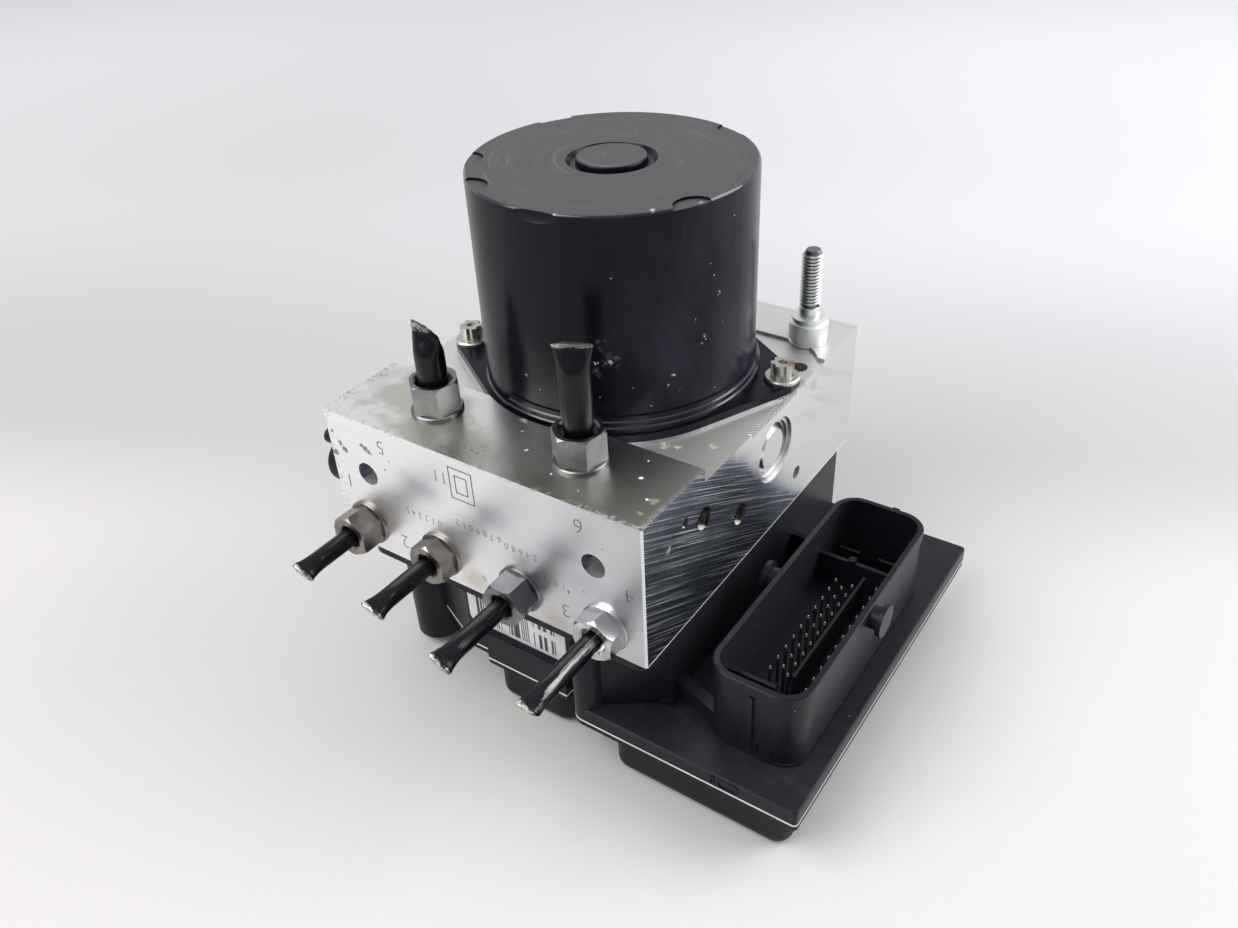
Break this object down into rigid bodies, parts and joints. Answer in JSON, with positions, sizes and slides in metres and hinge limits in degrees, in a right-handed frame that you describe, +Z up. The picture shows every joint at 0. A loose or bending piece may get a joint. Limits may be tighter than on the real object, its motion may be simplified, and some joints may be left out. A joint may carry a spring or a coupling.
{
  "type": "abs brake module",
  "caption": "Anti-lock brake unit: milled valve block with tube nuts and cut pipe stubs, pump motor on top, and a control unit with a plug connector below.",
  "frame": {"origin": "where the pump motor's axis meets the plane of the lid that the unit stands on", "axes": "+Z up along the motor's axis, -Y towards the wheel line ports, +X towards the plug connector"},
  "size_m": [0.1516, 0.1468, 0.1406],
  "materials": {
    "valve_block": "milled",
    "wheel_line_nuts": "zinc plated",
    "master_line_nuts": "zinc plated",
    "wheel_pipe_1": "gloss",
    "wheel_pipe_2": "gloss",
    "wheel_pipe_3": "gloss",
    "wheel_pipe_4": "gloss",
    "master_pipe_1": "gloss",
    "master_pipe_2": "gloss",
    "motor_can": "semi gloss",
    "motor_flange": "semi gloss",
    "flange_screws": "zinc plated",
    "motor_magnets": "matte",
    "top_bearing": "ground",
    "base_bearing": "ground",
    "brush_holder": "matte",
    "brushes": "matte",
    "motor_leads": "satin",
    "lead_sleeve": "matte",
    "rotor_shaft": "ground",
    "rotor_core": "matte",
    "rotor_windings": "satin",
    "commutator": "satin",
    "cam_ring": "ground",
    "pump_piston_right": "ground",
    "pump_piston_left": "ground",
    "pump_cylinders": "satin",
    "pump_plugs": "turned",
    "sealing_balls": "polished",
    "side_cap_large": "matte",
    "side_cap_small": "matte",
    "mounting_stud": "zinc plated",
    "valve_cartridges": "satin",
    "valve_coils": "gloss",
    "accumulator_piston_left": "anodised",
    "accumulator_piston_right": "anodised",
    "accumulator_caps": "satin",
    "pressure_sensor": "satin",
    "ecu_housing": "satin",
    "connector_pins": "tinned",
    "power_blades": "tinned",
    "circuit_board": "gloss",
    "board_chips": "matte",
    "lid_seal": "matte",
    "lid": "satin",
    "unit_screws": "zinc plated",
    "label": "matte"
  },
  "bodies": {
    "unit": {"valve_block": "valve_block", "wheel_line_nuts": "wheel_line_nuts", "master_line_nuts": "master_line_nuts", "wheel_pipe_1": "wheel_pipe_1", "wheel_pipe_2": "wheel_pipe_2", "wheel_pipe_3": "wheel_pipe_3", "wheel_pipe_4": "wheel_pipe_4", "master_pipe_1": "master_pipe_1", "master_pipe_2": "master_pipe_2", "motor_can": "motor_can", "motor_flange": "motor_flange", "flange_screws": "flange_screws", "motor_magnets": "motor_magnets", "top_bearing": "top_bearing", "base_bearing": "base_bearing", "brush_holder": "brush_holder", "brushes": "brushes", "motor_leads": "motor_leads", "lead_sleeve": "lead_sleeve", "pump_cylinders": "pump_cylinders", "pump_plugs": "pump_plugs", "sealing_balls": "sealing_balls", "side_cap_large": "side_cap_large", "side_cap_small": "side_cap_small", "mounting_stud": "mounting_stud", "valve_cartridges": "valve_cartridges", "valve_coils": "valve_coils", "accumulator_caps": "accumulator_caps", "pressure_sensor": "pressure_sensor", "ecu_housing": "ecu_housing", "connector_pins": "connector_pins", "power_blades": "power_blades", "circuit_board": "circuit_board", "board_chips": "board_chips", "lid_seal": "lid_seal", "lid": "lid", "unit_screws": "unit_screws", "label": "label"},
    "rotor": {"rotor_shaft": "rotor_shaft", "rotor_core": "rotor_core", "rotor_windings": "rotor_windings", "commutator": "commutator"},
    "cam_ring": {"cam_ring": "cam_ring"},
    "pump_piston_right": {"pump_piston_right": "pump_piston_right"},
    "pump_piston_left": {"pump_piston_left": "pump_piston_left"},
    "accumulator_piston_left": {"accumulator_piston_left": "accumulator_piston_left"},
    "accumulator_piston_right": {"accumulator_piston_right": "accumulator_piston_right"}
  },
  "joints": [
    {"name": "rotor_spin", "type": "hinge", "parent": "unit", "child": "rotor", "pos_m": [0, 0, 0.0675], "axis": [0, 0, 1], "continuous": true},
    {"name": "cam_ring_spin", "type": "hinge", "parent": "rotor", "child": "cam_ring", "pos_m": [0, 0.0013, 0.0675], "axis": [0, 0, 1], "continuous": true},
    {"name": "pump_stroke_right", "type": "slide", "parent": "unit", "child": "pump_piston_right", "axis": [-1, 0, 0], "range_m": [0, 0.00125]},
    {"name": "pump_stroke_left", "type": "slide", "parent": "unit", "child": "pump_piston_left", "axis": [1, 0, 0], "range_m": [0, 0.00125]},
    {"name": "accumulator_left", "type": "slide", "parent": "unit", "child": "accumulator_piston_left", "axis": [0, 0, -1], "range_m": [0, 0.007], "stiffness_N_per_m": 1500, "springref_m": -0.006},
    {"name": "accumulator_right", "type": "slide", "parent": "unit", "child": "accumulator_piston_right", "axis": [0, 0, -1], "range_m": [0, 0.007], "stiffness_N_per_m": 1500, "springref_m": -0.006}
  ]
}
